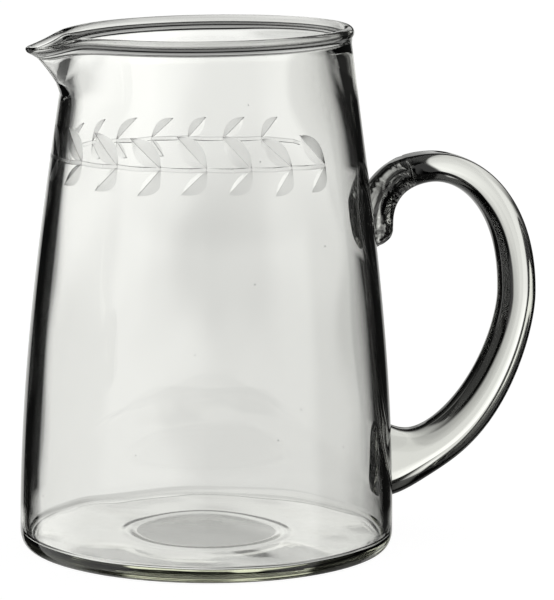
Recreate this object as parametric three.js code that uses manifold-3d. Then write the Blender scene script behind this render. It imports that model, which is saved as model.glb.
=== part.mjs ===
// A hand-blown clear glass pitcher: a tapered body with a thick floor, a fire-polished rim and a
// pulled pouring lip, and a solid glass handle applied hot to the side opposite the lip.
// Millimetres, Z up. The origin is the middle of the flat base, on the axis of the body.
// The lip points to -X and the handle to +X.
import * as THREE from "three";
import { mergeVertices } from "three/addons/utils/BufferGeometryUtils.js";
import Module from "manifold-3d";

// Body
const height = 180; // base to the top of the rim, at the sides
const baseRadius = 65; // outside of the body just above its lower corner
const mouthRadius = 48.9; // outside of the wall just under the rim
const lowerPull = 64; // how long the wall stays upright above the base
const upperPull = 55; // how long the wall follows its top slope below the rim
const upperFlare = 7.2; // how far that slope spreads over its length
const wall = 4.2; // wall thickness, measured level
const floorThickness = 4.6; // glass under the inside floor
const cornerRise = 5; // height of the rounded lower corner
const cornerStep = 2.6; // how far that corner draws in under the body
const innerCornerRadius = 5; // inside, between the wall and the floor
const beadDiameter = 4.5; // round edge of the rim
const beadProud = 1.1; // how far the rim stands out past the wall
const rimRise = 0.9; // how much higher the rim stands at the handle, and lower at the lip
const rimRiseDepth = 40; // height of the zone below the rim that leans with it
const mouthNarrowing = 2; // how far the mouth is drawn in at its two sides
const narrowingDepth = 70; // height of the zone below the rim that is drawn in

// Pouring lip
const lipReach = 13.7; // how far the tip stands out past the round rim
const lipDrop = 4.4; // how far the tip droops below the rim
const lipHalfWidth = 11; // half width of the pulled channel, along the round rim
const lipDepth = 20.5; // height of the channel below the rim
const lipThinning = 1.6; // how much thinner the drawn-out edge is at the tip

// Handle
const footHeight = 25.3; // middle of the lower root
const footRun = 34.4; // how long the rod leaves the root level
const standOff = 51.6; // wall to the middle of the rod at its farthest point
const bowHeight = 85.3; // height of that farthest point
const bowRunDown = 16.4; // upright stretch below it
const bowRunUp = 31.6; // upright stretch above it
const loopHeight = 130.2; // middle of the rod at the top of the loop
const loopOut = 25.6; // wall to the top of the loop
const loopRunOut = 14.5; // level stretch on the outer side of the top
const loopRunIn = 7.5; // level stretch on the inner side of the top
const tailHeight = 102.5; // lower end of the pressed upper root
const tailRun = 23.5; // length of the tail that lies along the wall
const tailSeat = 1.2; // wall to the middle of the tail
const rodRoot = 18.2; // thickness in the handle's plane where the rod leaves the foot
const rodBow = 13.8; // thickness at the farthest point
const rodLoop = 10; // thickness at the top of the loop
const rodTail = 13.4; // thickness of the pressed tail
const widthRoot = 18; // width across the handle's plane at the foot
const widthBow = 15; // width at the farthest point
const widthLoop = 13.5; // width at the top of the loop
const widthTail = 17; // width of the pressed tail
const footFlare = 11; // extra thickness of the foot on the wall
const footFlareLength = 8.9; // how far the flare runs out along the rod
const clearance = 0.3; // gap left between the handle and the body

// Facets
const roundSegments = 80;
const wallSteps = 10; // below the lip
const lipSteps = 7; // beside the lip
const arcSteps = 5;
const rodSides = 10;
const rodSteps = 48;

const glass = new THREE.MeshStandardMaterial({
  color: 0xe4e9e1,
  roughness: 0.03,
  metalness: 0,
  transparent: true,
  opacity: 0.35,
});

const wasm = await Module();
wasm.setup();

// A closed geometry as a solid that can be cut.
function solidOf(geometry) {
  const bare = geometry.clone();
  bare.deleteAttribute("normal");
  bare.deleteAttribute("uv");
  const merged = mergeVertices(bare, 1e-4);
  return new wasm.Manifold(
    new wasm.Mesh({
      numProp: 3,
      vertProperties: merged.attributes.position.array,
      triVerts: new Uint32Array(merged.index.array),
    }),
  );
}

// A cut solid as a geometry again.
function geometryOf(solid) {
  const mesh = solid.getMesh();
  const geometry = new THREE.BufferGeometry();
  geometry.setAttribute("position", new THREE.BufferAttribute(mesh.vertProperties, 3));
  geometry.setIndex(new THREE.BufferAttribute(mesh.triVerts, 1));
  geometry.computeVertexNormals();
  return geometry;
}

// Points of an upright ellipse's arc, from one angle to another, both included.
function arc(x, y, xRadius, yRadius, from, to, steps) {
  const turn = to < from;
  return new THREE.EllipseCurve(x, y, xRadius, yRadius, from, to, turn).getPoints(steps);
}

// The outside of the wall, from the lower corner to the rim: upright at the foot, then drawn in.
const wallTop = height - beadDiameter * 0.8;
const wallCurve = new THREE.CubicBezierCurve(
  new THREE.Vector2(baseRadius, cornerRise),
  new THREE.Vector2(baseRadius, cornerRise + lowerPull),
  new THREE.Vector2(mouthRadius + upperFlare, wallTop - upperPull),
  new THREE.Vector2(mouthRadius, wallTop),
);
const throat = height - beadDiameter / 2 - lipDepth;

// The point of that curve at a height, found by halving.
function onWall(z) {
  let low = 0;
  let high = 1;
  for (let i = 0; i < 40; i++) {
    const t = (low + high) / 2;
    if (wallCurve.getPoint(t).y < z) low = t;
    else high = t;
  }
  return new THREE.Vector2(wallCurve.getPoint(low).x, z);
}

// Points up the wall, closer together beside the lip.
const wallPoints = [];
for (let i = 0; i < wallSteps; i++) {
  wallPoints.push(onWall(THREE.MathUtils.lerp(cornerRise, throat, i / wallSteps)));
}
for (let i = 0; i <= lipSteps; i++) {
  wallPoints.push(onWall(THREE.MathUtils.lerp(throat, wallTop, i / lipSteps)));
}

// Outside radius of the wall at a height.
function wallRadius(z) {
  if (z <= wallPoints[0].y) return wallPoints[0].x;
  for (let i = 1; i < wallPoints.length; i++) {
    const a = wallPoints[i - 1];
    const b = wallPoints[i];
    if (z <= b.y) return THREE.MathUtils.mapLinear(z, a.y, b.y, a.x, b.x);
  }
  return mouthRadius;
}

// A lathe turned so that its axis is Z.
function turned(points) {
  return new THREE.LatheGeometry(points, roundSegments).rotateX(Math.PI / 2);
}

// The body's section, from the middle of the base, up the outside, over the rim and down inside.
const beadRadius = beadDiameter / 2;
const beadX = mouthRadius + beadProud - beadRadius;
const beadZ = height - beadRadius;
const floorCornerZ = floorThickness + innerCornerRadius;
const innerWall = wallPoints
  .filter((q) => q.y > floorCornerZ + 1)
  .map((q) => new THREE.Vector2(q.x - wall, q.y))
  .reverse();
const innerCornerX = wallRadius(floorCornerZ) - wall - innerCornerRadius;
const section = [
  new THREE.Vector2(0, 0),
  ...arc(baseRadius - cornerStep, cornerRise, cornerStep, cornerRise, -Math.PI / 2, 0, arcSteps),
  ...wallPoints.slice(1, -1),
  ...arc(beadX, beadZ, beadRadius, beadRadius, -Math.PI / 4, (5 * Math.PI) / 4, 2 * arcSteps),
  ...innerWall.slice(1),
  ...arc(innerCornerX, floorCornerZ, innerCornerRadius, innerCornerRadius, 0, -Math.PI / 2, arcSteps),
  new THREE.Vector2(0, floorThickness),
];

// Pulls the lip out of the round rim, draws the mouth in at its sides and lets the rim lean a little
// towards the lip. The pull grows in a straight flare from the throat to the rim and fades to both
// sides as a bell.
function pullLip(geometry) {
  const position = geometry.attributes.position;
  const rimLine = height - beadRadius;
  for (let i = 0; i < position.count; i++) {
    const x = position.getX(i);
    const y = position.getY(i);
    const z = position.getZ(i);
    const r = Math.hypot(x, y);
    if (r < 1e-6) continue;
    const side = (Math.atan2(y, -x) * mouthRadius) / lipHalfWidth;
    const bell = Math.exp(-Math.pow(Math.abs(side), 2.4));
    const flat = Math.exp(-Math.pow(Math.abs(side), 2.6));
    const flare = Math.max(0, (z - rimLine + lipDepth) / lipDepth);
    const lean = THREE.MathUtils.smoothstep(z, height - rimRiseDepth, height);
    const out = 1 + (lipReach * bell * flare) / r;
    const drawn = THREE.MathUtils.smoothstep(z, height - narrowingDepth, height);
    const narrow = 1 - (mouthNarrowing * drawn) / mouthRadius;
    const thinner = (lipThinning / beadDiameter) * bell * Math.max(0, z - rimLine);
    const down = lipDrop * flat * flare * flare + thinner - (rimRise * lean * x) / r;
    position.setXYZ(i, x * out, y * out * narrow, z - down);
  }
  return geometry;
}

// The handle's middle line in the XZ plane: out of the foot, up the bow, over the loop and down
// along the wall.
const at = (x, z) => new THREE.Vector3(x, 0, z);
const footX = wallRadius(footHeight);
const bowX = wallRadius(bowHeight) + standOff;
const loopX = wallRadius(loopHeight) + loopOut;
const tailX = wallRadius(tailHeight) + tailSeat;
const tailTop = tailHeight + tailRun;
const middle = new THREE.CurvePath();
middle.add(
  new THREE.CubicBezierCurve3(
    at(footX - wall, footHeight),
    at(footX + footRun, footHeight),
    at(bowX, bowHeight - bowRunDown),
    at(bowX, bowHeight),
  ),
);
middle.add(
  new THREE.CubicBezierCurve3(
    at(bowX, bowHeight),
    at(bowX, bowHeight + bowRunUp),
    at(loopX + loopRunOut, loopHeight),
    at(loopX, loopHeight),
  ),
);
middle.add(
  new THREE.CubicBezierCurve3(
    at(loopX, loopHeight),
    at(loopX - loopRunIn, loopHeight),
    at(wallRadius(tailTop) + tailSeat, tailTop),
    at(tailX, tailHeight),
  ),
);
const lengths = middle.getCurveLengths();
const rodLength = lengths[2];

// A size along the rod, eased from one named place to the next.
function along(s, root, bow, loop, tail) {
  const ease = THREE.MathUtils.smoothstep;
  if (s < lengths[0]) return THREE.MathUtils.lerp(root, bow, ease(s, 0, lengths[0]));
  if (s < lengths[1]) return THREE.MathUtils.lerp(bow, loop, ease(s, lengths[0], lengths[1]));
  return THREE.MathUtils.lerp(loop, tail, ease(s, lengths[1], rodLength - tailRun));
}

// A straight round bar, one unit in radius and in length, bent along the middle line and brought
// to the rod's thickness and width, with a swollen foot and a rounded tail end.
function bentRod() {
  const round = new THREE.Shape().absarc(0, 0, 1, 0, 2 * Math.PI);
  const bar = new THREE.ExtrudeGeometry(round, {
    depth: 1,
    steps: rodSteps,
    curveSegments: rodSides,
    bevelEnabled: false,
  });
  const position = bar.attributes.position;
  for (let i = 0; i < position.count; i++) {
    const u = THREE.MathUtils.clamp(position.getZ(i), 0, 1);
    const s = u * rodLength;
    const point = middle.getPointAt(u);
    const ahead = middle.getTangentAt(u);
    const swell = footFlare * Math.exp(-Math.pow(s / (wall + footFlareLength), 2));
    const left = Math.min(1, (rodLength - s) / (rodTail / 2));
    const close = Math.max(0.25, Math.sqrt(1 - (1 - left) * (1 - left)));
    const thick = (along(s, rodRoot, rodBow, rodLoop, rodTail) + swell) * close;
    const wide = along(s, widthRoot, widthBow, widthLoop, widthTail) * close;
    const n = (position.getX(i) * thick) / 2;
    const w = (position.getY(i) * wide) / 2;
    position.setXYZ(i, point.x + n * ahead.z, w, point.z - n * ahead.x);
  }
  return bar;
}

// The body's full outside, grown by the clearance, which the handle's ends are fitted to.
const grown = turned([
  new THREE.Vector2(0, -footFlare),
  new THREE.Vector2(baseRadius + clearance, -footFlare),
  ...wallPoints.map((q) => new THREE.Vector2(q.x + clearance, q.y)),
  new THREE.Vector2(0, wallTop),
]);

const body = new THREE.Mesh(pullLip(turned(section)), glass);
body.name = "body";

const handle = new THREE.Mesh(geometryOf(solidOf(bentRod()).subtract(solidOf(grown))), glass);
handle.name = "handle";

const pitcher = new THREE.Group();
pitcher.name = "pitcher";
pitcher.add(body, handle);

export default pitcher;
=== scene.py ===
import math

import bpy
import numpy as np
from mathutils import Matrix


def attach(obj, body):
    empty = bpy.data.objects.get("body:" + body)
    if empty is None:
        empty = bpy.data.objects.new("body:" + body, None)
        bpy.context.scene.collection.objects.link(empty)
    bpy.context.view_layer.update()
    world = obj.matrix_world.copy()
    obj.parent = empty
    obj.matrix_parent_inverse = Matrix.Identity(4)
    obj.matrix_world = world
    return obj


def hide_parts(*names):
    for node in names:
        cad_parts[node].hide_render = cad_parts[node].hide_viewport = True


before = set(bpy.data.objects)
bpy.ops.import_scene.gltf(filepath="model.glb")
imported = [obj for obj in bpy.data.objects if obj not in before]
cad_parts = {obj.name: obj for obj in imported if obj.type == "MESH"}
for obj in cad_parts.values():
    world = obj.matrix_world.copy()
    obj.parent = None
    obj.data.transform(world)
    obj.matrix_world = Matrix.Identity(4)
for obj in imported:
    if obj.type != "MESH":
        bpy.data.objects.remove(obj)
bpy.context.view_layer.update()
scene = bpy.context.scene

# Body
# One blown piece of clear glass: heavy floor, tapered wall, fire-polished rim, and a lip pulled out
# with a tool while the rim was soft. Where it was broken off the iron, the base has a ground round spot.
HEIGHT = 180.0  # to the top of the rim, in millimetres, as all sizes of the pieces are
BASE_RADIUS = 65.0
MOUTH_RADIUS = 48.9  # outside of the wall just under the rim
LOWER_PULL = 64.0  # how long the wall stays upright above the base
UPPER_PULL = 55.0  # how long the wall follows its top slope below the rim
UPPER_FLARE = 7.2  # how far that slope leads out over this length
WALL = 2.9
FLOOR = 4.2
FLOOR_RISE = 0.8  # how far the middle of the floor stands above its edge
CORNER_RISE = 5.0  # outer corner, upwards and inwards
CORNER_STEP = 2.6
INNER_CORNER_RISE = 2.0
INNER_CORNER_WIDTH = 3.0
BEAD_RADIUS = 2.1  # of the round rim
BEAD_PROUD = 1.1  # how far the rim stands out past the wall
RIM_RISE = 0.9  # how much higher the rim is at the handle, and lower at the lip
RIM_RISE_DEPTH = 40.0
MOUTH_NARROWING = 3.2  # how far each side of the mouth is drawn in, beside the lip and the handle
NARROWING_DEPTH = 70.0
LIP_REACH = 13.7
LIP_DROP = 4.4
LIP_HALF_WIDTH = 11.0
LIP_DEPTH = 19.5
LIP_WALL = 1.6
LIP_BEAD = 1.8
SPOT_RADIUS = 24.5
SPOT_DEPTH = 0.5
RING_WIDTH = 6.0  # of the shallow groove round the spot
RING_DEPTH = 0.22
COLUMNS = 320  # points round the body


def bezier(ends, t):
    """Cubic Bezier curve: the four points weighted by (1-t)^3, 3(1-t)^2 t, 3(1-t)t^2 and t^3."""
    p = np.asarray(ends, float)
    t = np.asarray(t, float)[..., None]
    return (1 - t) ** 3 * p[0] + 3 * (1 - t) ** 2 * t * p[1] + 3 * (1 - t) * t**2 * p[2] + t**3 * p[3]


def smooth(v, low, high):
    """0 below low, 1 above high, and 3k^2 - 2k^3 between them."""
    k = np.clip((v - low) / (high - low), 0, 1)
    return k * k * (3 - 2 * k)


WALL_TOP = HEIGHT - 1.6 * BEAD_RADIUS
WALL_LINE = [
    (BASE_RADIUS, CORNER_RISE),
    (BASE_RADIUS, CORNER_RISE + LOWER_PULL),
    (MOUTH_RADIUS + UPPER_FLARE, WALL_TOP - UPPER_PULL),
    (MOUTH_RADIUS, WALL_TOP),
]


def wall_radius(z):
    """Outside radius of the wall at a height: the Bezier wall line read back by its height."""
    line = bezier(WALL_LINE, np.linspace(0, 1, 600))
    return np.interp(z, line[:, 1], line[:, 0])


def body_section():
    """Half section of the body from the middle of the base, up the outside, over the round rim, down the
    inside and back to the middle of the floor. The spot is a bowl, 1 - (r/R)^2, the ring round it a groove,
    sin^2, both corners are quarter ovals, the rim is three quarters of a circle, and the floor a low dome.
    Each row gives the radius of the wall's middle, the way out from there, the height, 1 on the rim's bead,
    and how far the bead turns under, which is how much painted shade the bead gets there. The number of the
    inside's first row comes with it."""
    spot = np.linspace(0.04, 1, 14) * SPOT_RADIUS
    ring = np.linspace(0.06, 1, 14)
    base = np.linspace(SPOT_RADIUS + RING_WIDTH + 2, BASE_RADIUS - CORNER_STEP, 14)
    turn = np.linspace(0, np.pi / 2, 12)[1:]
    outside = np.concatenate([
        np.stack([spot, SPOT_DEPTH * (1 - (spot / SPOT_RADIUS) ** 2)], -1),
        np.stack([SPOT_RADIUS + RING_WIDTH * ring, RING_DEPTH * np.sin(np.pi * ring) ** 2], -1),
        np.stack([base, 0 * base], -1),
        np.stack([BASE_RADIUS - CORNER_STEP * (1 - np.sin(turn)), CORNER_RISE * (1 - np.cos(turn))], -1),
        bezier(WALL_LINE, np.linspace(0, 1, 72)[1:-1]),
    ])
    degrees = np.linspace(-45, 225, 26)
    turn = np.radians(degrees)
    middle = (MOUTH_RADIUS + BEAD_PROUD - BEAD_RADIUS, HEIGHT - BEAD_RADIUS)
    bead = np.stack([middle[0] + BEAD_RADIUS * np.cos(turn), middle[1] + BEAD_RADIUS * np.sin(turn)], -1)
    low = FLOOR + INNER_CORNER_RISE
    z = np.linspace(WALL_TOP - 2.5, low, 72)
    turn = np.linspace(0, -np.pi / 2, 16)[1:]
    inner = wall_radius(low) - WALL - INNER_CORNER_WIDTH
    floor = np.linspace(inner, 0.8, 24)[1:]
    inside = np.concatenate([
        np.stack([wall_radius(z) - WALL, z], -1),
        np.stack([inner + INNER_CORNER_WIDTH * np.cos(turn), low + INNER_CORNER_RISE * np.sin(turn)], -1),
        np.stack([floor, FLOOR + FLOOR_RISE * (1 - (floor / inner) ** 2)], -1),
    ])
    r, z = np.concatenate([outside, bead, inside]).T
    middle = wall_radius(np.minimum(z, WALL_TOP)) - 0.5 * WALL
    centre = r + smooth(z, 25, 60) * (middle - r)
    on_bead, under = np.zeros((2, len(r)))
    first, last = len(outside), len(outside) + len(bead)
    on_bead[first:last] = 1
    under[first:last] = np.maximum(smooth(-degrees, -24, -8), smooth(degrees, 166, 182))
    return np.stack([centre, r - centre, z, on_bead, under], -1), last


def body_grid(section, inside):
    """The section carried round the axis. Each row's middle line is a ring, narrowed across towards the
    mouth and pulled out at the -X side by a bell, more and more over the lip's depth. The wall stands off
    it along the ring's own normal, thinner in the lip. The rim rises slowly to the handle's side and droops
    at the lip, where the columns lie twice as close. The inside is uneven, as blown glass is: three slow
    waves in the wall's radius, three in the floor's height, and a thicker wall above the handle."""
    t = np.linspace(-1, 1, COLUMNS, endpoint=False)
    a = np.pi * (1 + 0.45 * t + 0.55 * t**3)
    centre, off, z, on_bead = (v[:, None] for v in section.T[:4])
    rim = HEIGHT - BEAD_RADIUS
    side = np.abs(a - np.pi) * MOUTH_RADIUS / LIP_HALF_WIDTH
    bell = 0.6 * np.exp(-((side / 0.8) ** 2)) + 0.4 * np.exp(-((side / 1.7) ** 2))
    flat, wide = np.exp(-(side**2.4)), np.exp(-((side / 2.4) ** 4))
    flare = np.clip((z - rim + LIP_DEPTH) / LIP_DEPTH, 0, None)
    narrow = 1 - MOUTH_NARROWING / MOUTH_RADIUS * smooth(z, HEIGHT - NARROWING_DEPTH, HEIGHT)
    radius = centre + LIP_REACH * bell * flare
    x, y = radius * np.cos(a), radius * np.sin(a) * narrow
    step = np.stack([np.gradient(x, a, axis=1), np.gradient(y, a, axis=1)], -1)
    step /= np.maximum(np.linalg.norm(step, axis=-1), 1e-9)[..., None]
    thin = wide * smooth(flare / (0.2 + 0.3 * side), 0, 1)
    thickness = 1 - thin * np.where(on_bead > 0, 1 - LIP_BEAD / BEAD_RADIUS, 1 - LIP_WALL / WALL)
    off = off * thickness
    within = (np.arange(len(section)) >= inside)[:, None]
    uneven = 0.10 * np.sin(2 * a + z / 31 + 0.6) + 0.07 * np.sin(5 * a - z / 17)
    uneven = uneven + 0.05 * np.sin(9 * a + z / 9 + 2)
    off = off + within * uneven * smooth(z, 12, 30) * smooth(-z, -172, -150)
    off = off - within * 1.4 * smooth(z, 130, 168) * smooth(np.cos(a), 0.3, 0.9) * smooth(-z, -177, -172)
    x, y = x + step[..., 1] * off, y - step[..., 0] * off
    waves = 0.10 * np.sin(x / 9 + y / 14 + 1.0) + 0.06 * np.sin(y / 6.5 - x / 11)
    waves = waves + 0.04 * np.sin(x / 4.1 + y / 5.3)
    waves = within * waves * smooth(-z, -7.0, -5.0) * smooth(centre, 0, 12)
    lean = smooth(z, HEIGHT - RIM_RISE_DEPTH, HEIGHT)
    down = LIP_DROP * flat * np.minimum(flare, 1) ** 2 + np.maximum(z - rim, 0) * (1 - thickness)
    z = z + waves - down - RIM_RISE * lean * -np.cos(a)
    return np.stack([x, y, z], -1)


def closed_mesh(name, grid, first, last):
    """Mesh of a grid whose columns close on themselves, with a fan to one point at each end.
    Faces turn outwards when the rows run along the piece and the columns round it."""
    rows, cols = grid.shape[:2]
    i = np.arange(rows - 1)[:, None] * cols
    j = np.arange(cols)[None]
    k = (j + 1) % cols
    quads = np.stack([i + j, i + k, i + cols + k, i + cols + j], -1).reshape(-1, 4)
    ends = rows * cols
    j, k = j[0], k[0]
    fan_first = np.stack([0 * j + ends, k, j], -1)
    fan_last = np.stack([0 * j + ends + 1, (rows - 1) * cols + j, (rows - 1) * cols + k], -1)
    points = np.concatenate([grid.reshape(-1, 3), [first, last]]) * 0.001  # in metres
    mesh = bpy.data.meshes.new(name)
    mesh.from_pydata(points.tolist(), [], quads.tolist() + fan_first.tolist() + fan_last.tolist())
    mesh.polygons.foreach_set("use_smooth", np.ones(len(mesh.polygons), bool))
    mesh.update()
    piece = bpy.data.objects.new(name, mesh)
    scene.collection.objects.link(piece)
    return piece


def store(piece, name, values):
    """Keep one value for each point of the piece's mesh, the two fan points last."""
    layer = piece.data.attributes.new(name, "FLOAT", "POINT")
    layer.data.foreach_set("value", values)


section, inside = body_section()
body = closed_mesh(
    "pitcher_body", body_grid(section, inside), (0, 0, SPOT_DEPTH), (0, 0, FLOOR + FLOOR_RISE)
)
# Painted shade on the rim's bead where it turns under.
store(body, "rim_painted_shade", np.append(np.repeat(section[:, 4], COLUMNS), [0, 0]))


class Reckoned:
    """A number in a node tree. Each step of a formula written with it adds one node to the tree."""

    def __init__(self, tree, socket):
        self.tree, self.socket = tree, socket

    def do(self, kind, *others):
        """One step of the Math node, with this number first."""
        node = self.tree.nodes.new("ShaderNodeMath")
        node.operation = kind
        for place, value in zip(node.inputs, (self, *others)):
            if isinstance(value, Reckoned):
                self.tree.links.new(value.socket, place)
            else:
                place.default_value = value
        return Reckoned(self.tree, node.outputs[0])

    def __add__(self, other):
        return self.do("ADD", other)

    def __sub__(self, other):
        return self.do("SUBTRACT", other)

    def __mul__(self, other):
        return self.do("MULTIPLY", other)

    def __truediv__(self, other):
        return self.do("DIVIDE", other)

    def ramp(self, none, full):
        """Smooth step from 0 at none to 1 at full."""
        node = self.tree.nodes.new("ShaderNodeMapRange")
        node.interpolation_type = "SMOOTHSTEP"
        self.tree.links.new(self.socket, node.inputs["Value"])
        node.inputs["From Min"].default_value = none
        node.inputs["From Max"].default_value = full
        return Reckoned(self.tree, node.outputs["Result"])

    def rest(self):
        """What is left to 1."""
        return self * -1 + 1


GARLAND_START = -56.2  # degrees round the axis, on the near side of the handle
GARLAND_HEIGHT = 136.8
GARLAND_SWAY = 1.2  # how far the garland's ring is tipped up and down
JOINT_STEP = 14.9  # length that a joint of the stem is drawn to
FIRST_JOINT = 15.3  # degrees of the first joint
JOINT_GROWTH = 0.4  # degrees that each next joint is longer
FAR_JOINT = 15.2  # degrees of the even joints past the lip
FAR_SHIFT = 1.37  # joints that those lag behind an even count from the start
LAST_LEAF = 15
# Half leaves: 1 above the stem or -1 below it, degrees off the stem, length, width and depth of the cut.
# A width below 0 lies on the vein's other side, towards the next joint.
LEAF_HALVES = (
    (1, 44, 15.0, 4.0, 1.0),
    (1, 44, 14.0, -3.4, 0.55),
    (-1, 48, 11.6, 3.9, 0.9),
    (-1, 48, 11.0, -1.5, 0.7),
)


def leaf_cut():
    """Node group of what is ground into the body, and of the seeds in its glass.
    The garland: the way round from its first joint, in joints that grow a little longer towards the lip,
    gives a place along a joint, and the height gives a place above the stem. A leaf is two halves on either
    side of a straight vein. Each half lies between the vein and a parabola, deep at the vein and shallow
    outside. The stem is a stroke that thins towards the next joint.
    The spot under the base is a grainy disc round the axis, and a seed is the middle of a Voronoi cell.
    Gives how matte the surface is, how deep it is cut, and the painted shade that darkens the spot and the
    seeds."""
    tree = bpy.data.node_groups.new("leaf_cut", "ShaderNodeTree")
    tree.interface.new_socket("Place", in_out="INPUT", socket_type="NodeSocketVector")
    for name in ("Ground", "Depth", "Shade"):
        tree.interface.new_socket(name, in_out="OUTPUT", socket_type="NodeSocketFloat")
    given, put_out = tree.nodes.new("NodeGroupInput"), tree.nodes.new("NodeGroupOutput")
    parts = tree.nodes.new("ShaderNodeSeparateXYZ")
    tree.links.new(given.outputs["Place"], parts.inputs[0])
    x, y, z = (Reckoned(tree, parts.outputs[k]) * 1000 for k in "XYZ")
    radius = (x.do("POWER", 2) + y.do("POWER", 2)).do("SQRT")

    angle = y.do("ARCTAN2", x) * (180 / math.pi)
    run = (angle * -1 + GARLAND_START).do("WRAP", 360, 0)
    joint = ((run * (2 * JOINT_GROWTH) + FIRST_JOINT**2).do("SQRT") - FIRST_JOINT) / JOINT_GROWTH
    joint = joint.do("MAXIMUM", run / FAR_JOINT - FAR_SHIFT)
    number = joint.do("FLOOR")
    along = (joint - number) * JOINT_STEP
    above = z - ((run - 45) * (math.pi / 180)).do("COSINE") * GARLAND_SWAY - GARLAND_HEIGHT
    hand = tree.nodes.new("ShaderNodeTexWhiteNoise")
    hand.noise_dimensions = "1D"
    tree.links.new(number.socket, hand.inputs["W"])
    swing = Reckoned(tree, hand.outputs["Value"]) - 0.5
    small = number.ramp(6.9, 8.1) * -0.24 + 1

    def half(side, tilt, length, width, depth):
        """Half a leaf: the parabola 4 w s (1 - s) over the share s of its length, tilted off the stem."""
        turn = swing * (0.14 * side) + math.radians(tilt)
        c, s = turn.do("COSINE"), turn.do("SINE")
        up = above * side
        reach = along * c + up * s
        off = (up * c - along * s) * (1 if width > 0 else -1)
        share = reach / (small * length)
        edge = (share * share.rest()).do("MAXIMUM", 0) * small * (4 * abs(width)) + 0.001
        inside = off.ramp(-0.1, 0.1) * (edge - off).ramp(-0.05, 0.3)
        inside = inside * share.ramp(-0.005, 0.01) * share.ramp(1.0, 0.97)
        slope = (off / edge).rest().do("MAXIMUM", 0) * inside * depth
        return inside * depth, slope

    stroke = (above + (along * (math.pi / JOINT_STEP)).do("SINE") * 0.3).do("ABSOLUTE")
    stem = stroke.ramp(0.85, 0.45) * (along.ramp(JOINT_STEP, 2) * 0.4 + 0.6)
    ground, depth = stem, stem * 0.4
    leafy = number.ramp(LAST_LEAF + 1, LAST_LEAF)
    for inside, slope in [half(*sizes) for sizes in LEAF_HALVES]:
        ground = ground.do("MAXIMUM", inside * leafy)
        depth = depth.do("MAXIMUM", slope * leafy * small)
    outside = (radius + z * 0.13).ramp(69.5, 70)
    here = outside * joint.ramp(LAST_LEAF + 1.3, LAST_LEAF + 1.1)

    spot = radius.ramp(SPOT_RADIUS, SPOT_RADIUS - 0.6) * z.ramp(1.6, 1.0)
    grain = tree.nodes.new("ShaderNodeTexNoise")
    tree.links.new(given.outputs["Place"], grain.inputs["Vector"])
    grain.inputs["Scale"].default_value = 420.0
    grit = spot * Reckoned(tree, grain.outputs["Fac"])

    seeds = tree.nodes.new("ShaderNodeTexVoronoi")
    tree.links.new(given.outputs["Place"], seeds.inputs["Vector"])
    seeds.inputs["Scale"].default_value = 60.0
    seed = Reckoned(tree, seeds.outputs["Distance"]).ramp(0.024, 0.012) * z.ramp(6, 9) * z.ramp(172, 168)

    tree.links.new((ground * here + spot * 1.3).socket, put_out.inputs["Ground"])
    tree.links.new((depth * here + grit * 0.06).socket, put_out.inputs["Depth"])
    # Painted shade: the ground spot and the seeds are coloured darker than the clear glass.
    tree.links.new((spot * 0.28 + seed * 0.7).socket, put_out.inputs["Shade"])
    return tree


def clear_glass(name):
    """Clear polished glass, with a faint grey-green tint that grows with the way through it."""
    material = bpy.data.materials.new(name)
    material.use_nodes = True
    nodes = material.node_tree.nodes
    glass = nodes["Principled BSDF"]
    glass.inputs["Base Color"].default_value = (1, 1, 1, 1)
    glass.inputs["Roughness"].default_value = 0.0
    glass.inputs["IOR"].default_value = 1.5
    glass.inputs["Transmission Weight"].default_value = 1.0
    tint = nodes.new("ShaderNodeVolumeAbsorption")
    tint.inputs["Color"].default_value = (0.925, 0.933, 0.86, 1)
    tint.inputs["Density"].default_value = 30.0
    material.node_tree.links.new(tint.outputs["Volume"], nodes["Material Output"].inputs["Volume"])
    return material


def stored(tree, name):
    """The value of that name at the mesh's points."""
    node = tree.nodes.new("ShaderNodeAttribute")
    node.attribute_name = name
    return Reckoned(tree, node.outputs["Fac"])


def entering(tree):
    """1 where the line of sight goes into the glass, 0 where it comes out."""
    return Reckoned(tree, tree.nodes.new("ShaderNodeNewGeometry").outputs["Backfacing"]).rest()


def edge_on(tree):
    """0 where the surface is seen straight on, 1 where it is seen edge-on: 1 - cos of the angle."""
    node = tree.nodes.new("ShaderNodeLayerWeight")
    node.inputs["Blend"].default_value = 0.5
    return Reckoned(tree, node.outputs["Facing"])


# Colour of the painted shade at the glass's edges, on the rim and in the handle's end.
PAINTED_SHADE_BLACK = (0.004, 0.004, 0.004, 1)


def paint_edge_shade(tree, low, high, start, other, seats=()):
    """Colour of the glass: white, and painted shade, nearly black, between two heights where the surface is
    seen edge-on, from a slant of start on, or where the other value is 1. The painted shade stands in for
    the dark surroundings that the glass bends into view at its edges. Between the heights of a seat, where
    the handle is melted on and no surface is left, it stays white."""
    where = tree.nodes.new("ShaderNodeTexCoord")
    parts = tree.nodes.new("ShaderNodeSeparateXYZ")
    tree.links.new(where.outputs["Object"], parts.inputs[0])
    x, y, z = (Reckoned(tree, parts.outputs[k]) * 1000 for k in "XYZ")
    dark = edge_on(tree).ramp(start, start + 0.16) * z.ramp(low, low + 6) * z.ramp(high + 6, high)
    for bottom, top in seats:
        near = y.do("ABSOLUTE").ramp(11, 8) * x.ramp(20, 30)
        near = near * z.ramp(bottom, bottom + 3) * z.ramp(top, top - 3)
        dark = dark * near.rest()
    dark = dark.do("MAXIMUM", other)
    colour = tree.nodes.new("ShaderNodeMix")
    colour.data_type = "RGBA"
    tree.links.new(dark.socket, colour.inputs["Factor"])
    colour.inputs[6].default_value = (1, 1, 1, 1)  # the node's two colours are its inputs 6 and 7
    colour.inputs[7].default_value = PAINTED_SHADE_BLACK
    tree.links.new(colour.outputs[2], tree.nodes["Principled BSDF"].inputs["Base Color"])


HANDLE_SEATS = [(11, 40), (98, 132)]  # heights between which the handle is melted on

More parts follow.
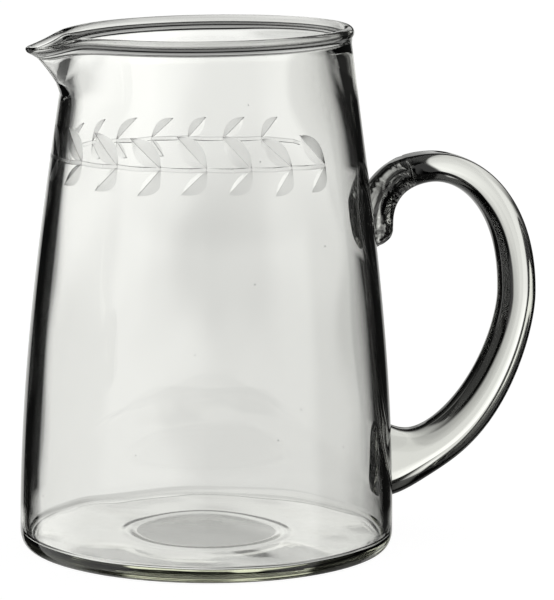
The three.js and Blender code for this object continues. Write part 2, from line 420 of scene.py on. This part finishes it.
body_glass = clear_glass("body_glass")
tree = body_glass.node_tree
glass = tree.nodes["Principled BSDF"]
place = tree.nodes.new("ShaderNodeTexCoord")
cut = tree.nodes.new("ShaderNodeGroup")
cut.node_tree = leaf_cut()
tree.links.new(place.outputs["Object"], cut.inputs["Place"])
# Painted shade: dark lines on the rim's bead where the line of sight goes in, and the darker ground spot
# and seeds.
shade = entering(tree) * stored(tree, "rim_painted_shade") * 0.9
shade = shade.do("MAXIMUM", Reckoned(tree, cut.outputs["Shade"]))
paint_edge_shade(tree, low=10, high=156, start=0.54, other=shade, seats=HANDLE_SEATS)
matte = Reckoned(tree, cut.outputs["Ground"]) * 0.3
tree.links.new(matte.socket, glass.inputs["Roughness"])
groove = tree.nodes.new("ShaderNodeBump")
groove.invert = True
groove.inputs["Strength"].default_value = 1.0
groove.inputs["Distance"].default_value = 0.0003
tree.links.new(cut.outputs["Depth"], groove.inputs["Height"])
tree.links.new(groove.outputs["Normal"], glass.inputs["Normal"])
body.data.materials.append(body_glass)
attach(body, "root")
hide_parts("body")

# Handle
# A solid bit of hot glass, stuck on low on the wall, drawn up into a bow, bent over and pressed
# on again higher up, where the tool left folds across its end.
FOOT_HEIGHT = 24.8
FOOT_LIFT = 1.5  # how much higher the rod's middle meets the wall
FOOT_RUN = 32.6  # pull of the curve out from the foot
STAND_OFF = 51.5  # wall to the middle of the rod at the bow
BOW_HEIGHT = 84.8
BOW_RUN_DOWN = 16.2  # pull of the curve down and up from the bow
BOW_RUN_UP = 31.0
LOOP_HEIGHT = 130.2
LOOP_OUT = 25.6  # wall to the top of the loop
LOOP_RUN_OUT = 14.5  # pull of the curve out and in from the top
LOOP_RUN_IN = 7.5
TAIL_HEIGHT = 102.5  # of the lower end of the tail
TAIL_RUN = 23.5  # pull of the curve up along the wall from there
TAIL_SEAT = 1.2  # wall to the middle of the tail
ROD_THICKNESS = (16.4, 12.9, 11.2, 13.4)  # at the foot, the bow, the loop and the tail
ROD_WIDTH = (18.0, 15.0, 13.5, 17.0)
FOOT_FLARE = 11.0
FOOT_FLARE_LENGTH = 8.9
MELTED_IN = 0.5
INNER_ROUND = 2.6  # 2 is an oval, higher is flatter with tighter edges
OUTER_ROUND = 5.0
CURL_ROUND = 2.1
INNER_TRIM = 0.965  # so that the flat sides' edges, seen aslant, reach no further than an oval's
OUTER_TRIM = 0.895
WEDGE = 0.5  # how much fatter the bent end is on its outside
SIDES = 96  # points round the rod


def handle_line():
    """Middle line of the handle in the XZ plane: three Bezier curves from inside the wall out to the bow,
    up to the top of the loop and down to the tail on the wall, in steps that are three times shorter from
    12 mm before the top on. Also gives the length at each point, and at the bow, the top and the end."""
    foot = wall_radius(FOOT_HEIGHT)
    bow = wall_radius(BOW_HEIGHT) + STAND_OFF
    loop = wall_radius(LOOP_HEIGHT) + LOOP_OUT
    top = TAIL_HEIGHT + TAIL_RUN
    rise = [(foot - WALL, FOOT_HEIGHT + FOOT_LIFT), (foot + FOOT_RUN, FOOT_HEIGHT),
            (bow, BOW_HEIGHT - BOW_RUN_DOWN), (bow, BOW_HEIGHT)]
    bend = [(bow, BOW_HEIGHT), (bow, BOW_HEIGHT + BOW_RUN_UP),
            (loop + LOOP_RUN_OUT, LOOP_HEIGHT), (loop, LOOP_HEIGHT)]
    fall = [(loop, LOOP_HEIGHT), (loop - LOOP_RUN_IN, LOOP_HEIGHT),
            (wall_radius(top) + TAIL_SEAT, top), (wall_radius(TAIL_HEIGHT) + TAIL_SEAT, TAIL_HEIGHT)]
    t = np.linspace(0, 1, 200)
    line = np.concatenate([bezier(rise, t), bezier(bend, t)[1:], bezier(fall, t)[1:]])
    run = np.concatenate([[0], np.cumsum(np.hypot(*np.diff(line, axis=0).T))])
    last = len(t) - 1
    at_bow, at_loop, at_tail = run[[last, 2 * last, 3 * last]]
    s = np.concatenate([np.linspace(0, at_loop - 12, 190), np.linspace(at_loop - 12, at_tail, 230)[1:]])
    points = np.stack([np.interp(s, run, line[:, 0]), np.interp(s, run, line[:, 1])], -1)
    return points, s, at_bow, at_loop, at_tail


def folds(u, a):
    """Height of the folds that the tool pressed into the end's two sides, by the length u past the loop's
    top and the angle a round the rod: one crease across, rings round a dent beside it, pleats further on,
    and a pebbled lump at the end. They fade towards the outer and inner edges."""
    u, v = u[:, None], 6 * np.cos(a)[None]
    crease = -0.55 * np.exp(-(((u - 9.5 + 0.1 * v) / 0.55) ** 2))
    ring = np.hypot(u - 15.5, v + 3)
    rings = 0.09 * np.sin(3.0 * ring) * smooth(ring, 1, 3) * smooth(-ring, -9, -6) * smooth(u, 10, 11)
    pleats = 0.16 * np.sin(9 * a + 0.3 * u) * smooth(u, 20, 25) * smooth(-u, -36, -30)
    pebbles = (np.sin(2.1 * u + 5 * a) + np.sin(1.3 * u - 8 * a + 1) + np.sin(0.6 * u + 11 * a + 2)) * 0.07
    edge = smooth(np.abs(np.sin(a)), 0.25, 0.75)[None]
    return (crease + rings + pleats + pebbles * smooth(u, 26, 31)) * edge


def painted_curl_shade(u, a):
    """Painted shade on the pressed end, standing in for the light that the folds inside it bend away, by
    the
    same length and angle: dark below a line that climbs from the rod's middle to its outer edge, broken by
    painted light in rings, a crease, two facets towards the hand, streaks along the wall and pebbles at the
    end."""
    u, v = u[:, None], np.cos(a)[None]
    below = smooth(1.25 * smooth(u, -6, 10) - 0.35 - v, 0, 0.2) * smooth(u, -26, -14)
    ring = np.hypot(u - 15.5, 6 * v + 3)
    light = 0.6 * np.exp(-(((u - 9.5 + 0.6 * v) / 0.45) ** 2))
    light = light + 0.35 * smooth(np.sin(3.4 * ring), 0.5, 1) * smooth(u, 10, 11) * smooth(-u, -22, -18)
    light = light + np.exp(-(((u - 15) / 3.2) ** 2) - ((v + 0.55) / 0.2) ** 2)
    light = light + np.exp(-(((u - 28) / 5.5) ** 2) - ((v + 0.4) / 0.22) ** 2)
    light = light + 0.45 * smooth(np.sin(13 * a + 0.25 * u) * smooth(u, 18, 24), 0.1, 0.9)
    pebbles = smooth(np.sin(2.1 * u + 7 * a) * np.sin(1.3 * u - 9 * a), 0.2, 0.8)
    light = light + 0.4 * pebbles * smooth(u, 32, 36)
    inner = smooth(v, -0.95, -0.75)
    return below * inner * np.clip(1 - light, 0, 1)


def lines(s, at_bow, at_loop, v, w):
    """Painted shade along the rod's edges, by the length s and the places v from the inner to the outer
    edge and w across, both from -1 to 1: a dark line along the outer edge, widest at the foot, and a broad
    dark band along the inner edge that starts as a point above the foot. Both lie on the flat sides only."""
    start = (0.46 + 0.15 * smooth(s, 14, at_bow))[:, None]
    outer = smooth(v, start, start + 0.06) * smooth(-s, 12 - at_loop, 30 - at_loop)[:, None]
    start = (1.02 - 0.4 * smooth(s, 10, 44) - 0.17 * smooth(s, 44, at_bow))[:, None]
    inner = smooth(-v, start, start + 0.08) * smooth(-s, -at_loop - 8, -at_loop)[:, None]
    return np.maximum(outer, inner) * smooth(np.abs(w), 0.2, 0.4)


def handle_grid():
    """A flattened oval, |u|^p + |v|^p = 1 with its own p towards the hand and outwards, carried along the
    middle line, and rounder, but a wedge with its fat side out, where the end is bent over. Its thickness
    and width go smoothly from foot to bow, loop and tail, the foot flares like a trumpet, the tail end is
    rounded, and what would lie deeper in the wall than it melted in is laid at that depth. Also gives the
    painted shade of the bent end and along the edges at each point."""
    points, s, at_bow, at_loop, at_tail = handle_line()
    way = np.gradient(points, s, axis=0)
    way /= np.linalg.norm(way, axis=1)[:, None]
    across = np.stack([way[:, 1], -way[:, 0]], -1)

    def sized(four):
        """The four sizes with a smooth step from each to the next."""
        return (four[0] + (four[1] - four[0]) * smooth(s, 0, at_bow)
                + (four[2] - four[1]) * smooth(s, at_bow, at_loop)
                + (four[3] - four[2]) * smooth(s, at_loop, at_tail))

    thick, wide = sized(ROD_THICKNESS), sized(ROD_WIDTH)
    thick = thick + FOOT_FLARE * np.exp(-((s / (WALL + FOOT_FLARE_LENGTH)) ** 2))
    left = np.clip((at_tail - s) / (0.5 * ROD_THICKNESS[3]), 0, 1)
    end = np.maximum(0.25, np.sqrt(1 - (1 - left) ** 2))
    a = np.linspace(0, 2 * np.pi, SIDES, endpoint=False)
    curl = np.maximum(smooth(s, at_loop + 1, at_loop + 14), 0.45 * smooth(-s, -34, -6))[:, None]
    flat = np.where(np.cos(a) > 0, OUTER_ROUND, INNER_ROUND)
    p = flat + (CURL_ROUND - flat) * curl
    trim = np.where(np.cos(a) > 0, OUTER_TRIM, INNER_TRIM)
    trim = trim + (1 - trim) * curl
    reach = (np.abs(np.cos(a)) ** p + np.abs(np.sin(a)) ** p) ** (-1 / p)
    outwards = (0.5 * thick * end)[:, None] * np.cos(a) * reach * trim
    wedge = WEDGE * smooth(s, at_loop + 2, at_loop + 15) * smooth(-s, -at_loop - 36, -at_loop - 24)
    sideways = (0.5 * wide * end)[:, None] * np.sin(a) * reach * (1 + wedge[:, None] * np.cos(a))
    pressed = 1 + folds(s - at_loop, a) * end[:, None] / np.hypot(outwards, sideways)
    outwards, sideways = outwards * pressed, sideways * pressed
    grid = np.stack([
        points[:, 0, None] + across[:, 0, None] * outwards,
        sideways,
        points[:, 1, None] + across[:, 1, None] * outwards,
    ], -1)
    r = np.hypot(grid[..., 0], grid[..., 1])
    seat = wall_radius(grid[..., 2]) - MELTED_IN
    grid[..., :2] *= np.maximum(1, seat / r)[..., None]
    return grid, painted_curl_shade(s - at_loop, a), lines(s, at_bow, at_loop, np.cos(a) * reach, np.sin(a) * reach)


rod, curl_shade, lined = handle_grid()
handle = closed_mesh("pitcher_handle", rod, rod[0].mean(0), rod[-1].mean(0))
# Painted shade of the bent end and along the rod's edges, kept at the mesh's points.
for name, dark in (("painted_curl_shade", curl_shade), ("lines", lined)):
    store(handle, name, np.append(dark.ravel(), [0, dark[-1].mean()]))
handle_glass = clear_glass("handle_glass")
tree = handle_glass.node_tree
# Painted shade: the dark lines along the rod's edges, where the line of sight goes in and the surface is
# not seen edge-on, and the painted shade of the bent end.
dark = entering(tree) * edge_on(tree).ramp(0.60, 0.50) * stored(tree, "lines")
dark = dark.do("MAXIMUM", stored(tree, "painted_curl_shade"))
paint_edge_shade(tree, low=-10, high=200, start=0.40, other=dark)
handle.data.materials.append(handle_glass)
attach(handle, "root")
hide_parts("handle")

# Floor and studio light
# A plain white paper sweep. The floor is white to the camera and keeps a faint shadow. Glass doesn't show
# it: what shows in the glass is the studio's light, which differs with the direction that it comes from.
FLOOR_HALF = 4.0  # metres
FLOOR_DROP = 0.0002  # metres that the paper lies below the base
corners = np.array([(-1, -1, 0), (1, -1, 0), (1, 1, 0), (-1, 1, 0)]) * FLOOR_HALF - (0, 0, FLOOR_DROP)
floor_mesh = bpy.data.meshes.new("floor")
floor_mesh.from_pydata(corners.tolist(), [], [(0, 1, 2, 3)])
floor = bpy.data.objects.new("floor", floor_mesh)
scene.collection.objects.link(floor)
floor_paper = bpy.data.materials.new("floor_paper")
floor_paper.use_nodes = True
nodes, links = floor_paper.node_tree.nodes, floor_paper.node_tree.links
paper = nodes["Principled BSDF"]
paper.inputs["Roughness"].default_value = 0.9
paper.inputs["Specular IOR Level"].default_value = 0.0
paper.inputs["Base Color"].default_value = (0.25, 0.25, 0.25, 1)
white = nodes.new("ShaderNodeEmission")
white.inputs["Strength"].default_value = 0.955
both = nodes.new("ShaderNodeAddShader")
links.new(paper.outputs["BSDF"], both.inputs[0])
links.new(white.outputs["Emission"], both.inputs[1])
links.new(both.outputs["Shader"], nodes["Material Output"].inputs["Surface"])
floor_mesh.materials.append(floor_paper)
floor.visible_transmission = False
floor.visible_glossy = False

CAMERA_TURN = 14.5  # degrees that the camera stands to the lip's side
world = bpy.data.worlds.new("studio")
scene.world = world
world.use_nodes = True
tree = world.node_tree
sky = tree.nodes["Background"]
way = tree.nodes.new("ShaderNodeTexCoord")
parts = tree.nodes.new("ShaderNodeSeparateXYZ")
tree.links.new(way.outputs["Generated"], parts.inputs[0])
east, north, up = (Reckoned(tree, parts.outputs[k]) for k in "XYZ")
turn = (east.do("ARCTAN2", north) * (180 / math.pi) - CAMERA_TURN).do("WRAP", 180, -180)
rise = up.do("ARCSINE") * (180 / math.pi)


def between(value, low, high, soft):
    """1 from low to high, fading to 0 over soft degrees outside them."""
    return value.ramp(low - soft, low) * value.ramp(high + soft, high)


# Where light comes from, in degrees to the right of straight behind the pitcher and above the level.
# The backdrop is a white sheet below the level, fainter in steps towards its right edge.
across = turn.ramp(-25, -17) * (turn.ramp(-2.6, -0.8) * -0.15 + 1) * (turn.ramp(3.6, 5.4) * -0.16 + 1)
across = across * (turn.ramp(5, 13) * -0.2 + 1) * (turn.ramp(14, 21) * -0.97 + 1)
backdrop = across * rise.ramp(0.8, -0.8) * (rise.ramp(-6.2, -10.2) * -0.28 + 1.12)
backdrop = backdrop * (rise.ramp(-14, -26) * -0.1 + 1)
# Above the level, a sheet behind on the left, and a broad strip that the pitcher's floor bends to the eye.
behind_left = between(turn, -23, -8, 3) * rise.ramp(19, 14) * 0.7
behind_floor = between(turn, -12, 15, 3) * between(rise, 8, 19, 3)
behind_floor = behind_floor * (between(turn, -5, -0.5, 3) * -0.35 + 1.05)
# Two small lights that glint in the edge of the base.
base_light = between(turn, 27, 41, 3) * between(rise, -33, -18, 3) * 0.65
base_light = base_light.do("MAXIMUM", between(turn, 38, 56, 6) * between(rise, 26, 54, 5) * 0.55)
# White sheets on the left, from beside the pitcher round to the camera, and on the right beside the
# camera. Low down in front there is no light.
front_high = (turn.do("ABSOLUTE").ramp(125, 145) * rise.ramp(-17.5, -20.5)).rest()
left_light = turn.ramp(-53, -57) * between(rise, -40, 4, 6) * front_high
right_light = turn.ramp(100, 112) * between(rise, -34, 3, 6) * front_high * 0.9
# Light from above, and from the table below.
ceiling = rise.ramp(34, 50) * 0.4
table = rise.ramp(-24, -42) * (turn.ramp(-10, 40) * -0.5 + 0.8) * between(turn, -60, 60, 25)
DARKEST = 0.015  # light from everywhere else
light = backdrop
for part in (behind_left, behind_floor, base_light, left_light, right_light, ceiling, table, DARKEST):
    light = light.do("MAXIMUM", part)
path = tree.nodes.new("ShaderNodeLightPath")
seen = tree.nodes.new("ShaderNodeMix")
tree.links.new(path.outputs["Is Camera Ray"], seen.inputs["Factor"])
tree.links.new(light.socket, seen.inputs["A"])
seen.inputs["B"].default_value = 1.0
tree.links.new(seen.outputs["Result"], sky.inputs["Strength"])
warm = tree.nodes.new("ShaderNodeMix")
warm.data_type = "RGBA"
tree.links.new(path.outputs["Is Camera Ray"], warm.inputs["Factor"])
warm.inputs[6].default_value = (0.995, 1.0, 0.972, 1)
warm.inputs[7].default_value = (1, 1, 1, 1)
tree.links.new(warm.outputs[2], sky.inputs["Color"])

# Camera
# At the photograph's viewing angle: in front, a little to the lip's side, and looking slightly down.
CAMERA_PLACE = (-0.3009, -1.2595, 0.3072)  # metres
CAMERA_DOWN = 9.714  # degrees
CAMERA_ROLL = 0.491
camera = bpy.data.objects.new("camera", bpy.data.cameras.new("camera"))
scene.collection.objects.link(camera)
camera.data.sensor_fit = "VERTICAL"
camera.data.sensor_width = camera.data.sensor_height = 36.0
camera.data.lens = 227.35
camera.matrix_world = (
    Matrix.Translation(CAMERA_PLACE)
    @ Matrix.Rotation(math.radians(-CAMERA_TURN), 4, "Z")
    @ Matrix.Rotation(math.radians(90 - CAMERA_DOWN), 4, "X")
    @ Matrix.Rotation(math.radians(CAMERA_ROLL), 4, "Z")
)
scene.camera = camera
scene.view_settings.view_transform = "Standard"
